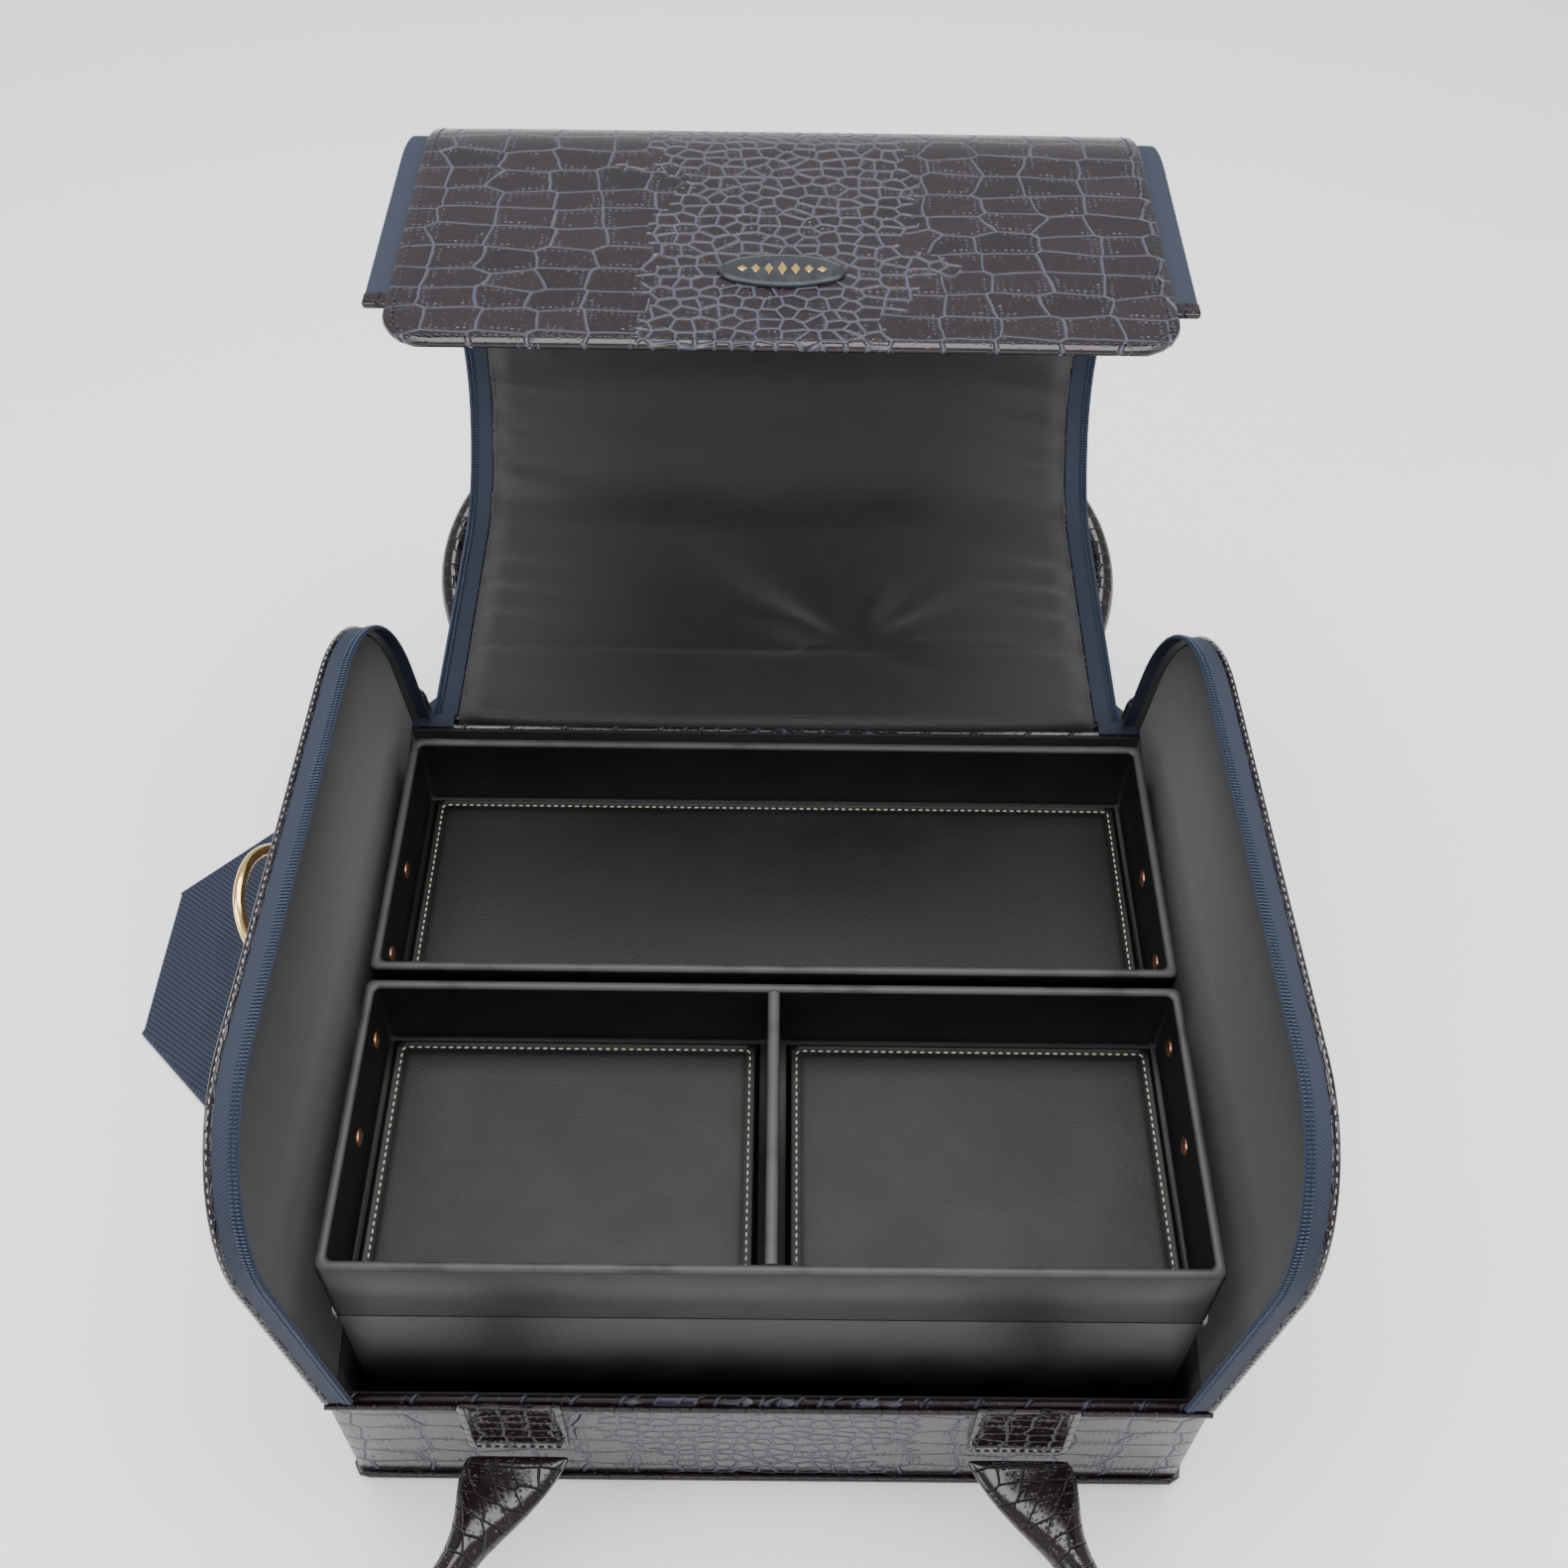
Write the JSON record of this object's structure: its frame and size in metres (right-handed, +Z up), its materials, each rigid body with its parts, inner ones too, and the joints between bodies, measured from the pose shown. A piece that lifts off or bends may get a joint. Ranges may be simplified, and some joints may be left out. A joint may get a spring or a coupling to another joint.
{
  "type": "makeup train case",
  "caption": "Soft train case with embossed crocodile skin, fold-back zipped lid, splaying sides, rolled handles and a lift-out box under two cantilever trays.",
  "frame": {"origin": "centre of the case's underside, on the surface it stands on", "axes": "+X to the right of someone facing the open case, +Y to the back where the lid folds, +Z up"},
  "size_m": [0.568, 0.8424, 0.3721],
  "materials": {
    "croc_skin": "glossy embossed crocodile grain",
    "croc_handle": "high gloss embossed crocodile grain",
    "board": "dark fibreboard",
    "lining": "black nylon",
    "zip": "slate navy twill tape with nylon coil",
    "zip_metal": "navy enamel",
    "gold": "polished gold plate",
    "webbing": "navy coarse webbing",
    "badge": "slate enamel with gold motif",
    "leatherette": "black satin leatherette",
    "pad": "black leatherette with cream stitching",
    "rivet": "copper",
    "arm_steel": "satin"
  },
  "bodies": {
    "case": {"base_board": "board", "base_lining": "lining", "front_panel": "croc_skin", "back_panel": "croc_skin", "side_lower_left": "croc_skin", "side_lower_right": "croc_skin", "base_piping": "croc_skin", "front_piping": "croc_skin", "lid_strip": "croc_skin", "front_handle_tabs": "croc_handle", "rear_handle_tabs": "croc_handle", "strap_end_left": "webbing", "strap_end_right": "webbing", "strap_side_left": "webbing", "strap_side_right": "webbing", "strap_back": "webbing", "strap_slider": "gold"},
    "side_left": {"side_panel_left": "croc_skin", "side_lining_left": "lining", "side_zip_left": "zip", "ring_tab_left": "croc_handle"},
    "ring_left": {"d_ring_left": "gold"},
    "zip_slider_left": {"zip_slider_left": "zip_metal"},
    "zip_pull_left": {"zip_pull_left": "zip_metal"},
    "side_right": {"side_panel_right": "croc_skin", "side_lining_right": "lining", "side_zip_right": "zip", "ring_tab_right": "croc_handle"},
    "ring_right": {"d_ring_right": "gold"},
    "zip_slider_right": {"zip_slider_right": "zip_metal"},
    "zip_pull_right": {"zip_pull_right": "zip_metal"},
    "lid_1": {"lid_panel_1": "croc_skin", "lid_zip_1": "zip"},
    "lid_2": {"lid_panel_2": "croc_skin", "lid_zip_2": "zip"},
    "lid_3": {"lid_panel_3": "croc_skin", "lid_zip_3": "zip"},
    "lid_4": {"lid_panel_4": "croc_skin", "lid_zip_4": "zip"},
    "lid_5": {"lid_panel_5": "croc_skin", "lid_zip_5": "zip", "lid_tongue": "croc_skin", "badge": "badge"},
    "box": {"box_shell": "leatherette", "box_pad": "pad", "box_rivets": "rivet"},
    "front_tray": {"front_tray": "leatherette", "front_tray_rivets": "rivet", "tray_divider": "leatherette", "front_pad_left": "pad", "front_pad_right": "pad"},
    "rear_tray": {"rear_tray": "leatherette", "rear_tray_rivets": "rivet", "rear_pad": "pad"},
    "front_outer_arms": {"front_outer_arms": "arm_steel"},
    "front_inner_arms": {"front_inner_arms": "arm_steel"},
    "front_handle": {"front_handle": "croc_handle"},
    "rear_outer_arms": {"rear_outer_arms": "arm_steel"},
    "rear_inner_arms": {"rear_inner_arms": "arm_steel"},
    "rear_handle": {"rear_handle": "croc_handle"}
  },
  "joints": [
    {"name": "side_left_fold", "type": "hinge", "parent": "case", "child": "side_left", "pos_m": [-0.174, -0.147, 0.086], "axis": [0, -0.9735, -0.2285], "range_deg": [-6, 0]},
    {"name": "ring_left_swing", "type": "hinge", "parent": "side_left", "child": "ring_left", "pos_m": [-0.18572, 0.00019, 0.19721], "axis": [0.0239, 0.9997, 0.0012], "range_deg": [-150, 12]},
    {"name": "zip_left_travel", "type": "slide", "parent": "side_left", "child": "zip_slider_left", "axis": [-0.1018, 0.0012, 0.9948], "range_m": [0, 0.018]},
    {"name": "zip_left_pull_swing", "type": "hinge", "parent": "zip_slider_left", "child": "zip_pull_left", "pos_m": [-0.16594, 0.154, 0.16627], "axis": [0.9945, -0.0239, 0.1018], "range_deg": [0, 150]},
    {"name": "side_right_fold", "type": "hinge", "parent": "case", "child": "side_right", "pos_m": [0.174, -0.147, 0.086], "axis": [0, 0.9735, 0.2285], "range_deg": [-6, 0]},
    {"name": "ring_right_swing", "type": "hinge", "parent": "side_right", "child": "ring_right", "pos_m": [0.18572, 0.00019, 0.19721], "axis": [0.0239, -0.9997, -0.0012], "range_deg": [0, 162]},
    {"name": "zip_right_travel", "type": "slide", "parent": "side_right", "child": "zip_slider_right", "axis": [0.1018, 0.0012, 0.9948], "range_m": [0, 0.018]},
    {"name": "zip_right_pull_swing", "type": "hinge", "parent": "zip_slider_right", "child": "zip_pull_right", "pos_m": [0.16594, 0.154, 0.16627], "axis": [0.9945, 0.0239, -0.1018], "range_deg": [0, 150]},
    {"name": "lid_fold", "type": "hinge", "parent": "case", "child": "lid_1", "pos_m": [0, 0.1503, 0.155], "axis": [-1, 0, 0], "range_deg": [-90, 0]},
    {"name": "lid_bend_1", "type": "hinge", "parent": "lid_1", "child": "lid_2", "pos_m": [0, 0.2115, 0.155], "axis": [-1, 0, 0], "range_deg": [-45, 0]},
    {"name": "lid_bend_2", "type": "hinge", "parent": "lid_2", "child": "lid_3", "pos_m": [0, 0.2639, 0.155], "axis": [-1, 0, 0], "range_deg": [-45, 0]},
    {"name": "lid_bend_3", "type": "hinge", "parent": "lid_3", "child": "lid_4", "pos_m": [0, 0.3003, 0.155], "axis": [-1, 0, 0], "range_deg": [0, 45]},
    {"name": "lid_bend_4", "type": "hinge", "parent": "lid_4", "child": "lid_5", "pos_m": [0, 0.34018, 0.19488], "axis": [-1, 0, 0], "range_deg": [0, 45]},
    {"name": "box_lift", "type": "slide", "parent": "case", "child": "box", "axis": [0, 0, 1], "range_m": [0, 0.1]},
    {"name": "front_tray_swing", "type": "hinge", "parent": "box", "child": "front_outer_arms", "pos_m": [0, -0.12683, 0.1325], "axis": [1, 0, 0], "range_deg": [0, 115]},
    {"name": "front_tray_level", "type": "hinge", "parent": "front_outer_arms", "child": "front_tray", "pos_m": [0, -0.074, 0.163], "axis": [1, 0, 0], "range_deg": [-115, 0]},
    {"name": "front_inner_arm_swing", "type": "hinge", "parent": "box", "child": "front_inner_arms", "pos_m": [0, -0.08333, 0.1325], "axis": [1, 0, 0], "range_deg": [0, 115]},
    {"name": "rear_tray_swing", "type": "hinge", "parent": "box", "child": "rear_outer_arms", "pos_m": [0, 0.10683, 0.1325], "axis": [-1, 0, 0], "range_deg": [0, 88]},
    {"name": "rear_tray_level", "type": "hinge", "parent": "rear_outer_arms", "child": "rear_tray", "pos_m": [0, 0.054, 0.163], "axis": [-1, 0, 0], "range_deg": [-88, 0]},
    {"name": "rear_inner_arm_swing", "type": "hinge", "parent": "box", "child": "rear_inner_arms", "pos_m": [0, 0.06333, 0.1325], "axis": [-1, 0, 0], "range_deg": [0, 88]},
    {"name": "front_handle_swing", "type": "hinge", "parent": "case", "child": "front_handle", "pos_m": [0, -0.1528, 0.04], "axis": [1, 0, 0], "range_deg": [-74, 0]},
    {"name": "rear_handle_swing", "type": "hinge", "parent": "case", "child": "rear_handle", "pos_m": [0, 0.1528, 0.04], "axis": [-1, 0, 0], "range_deg": [-2, 26.75]}
  ],
  "couplings": [
    {"joint": "lid_bend_1", "follows": "lid_fold", "ratio": 0.5},
    {"joint": "lid_bend_2", "follows": "lid_fold", "ratio": 0.5},
    {"joint": "lid_bend_3", "follows": "lid_fold", "ratio": -0.5},
    {"joint": "lid_bend_4", "follows": "lid_fold", "ratio": -0.5},
    {"joint": "front_tray_level", "follows": "front_tray_swing", "ratio": -1},
    {"joint": "front_inner_arm_swing", "follows": "front_tray_swing", "ratio": 1},
    {"joint": "rear_tray_level", "follows": "rear_tray_swing", "ratio": -1},
    {"joint": "rear_inner_arm_swing", "follows": "rear_tray_swing", "ratio": 1}
  ]
}
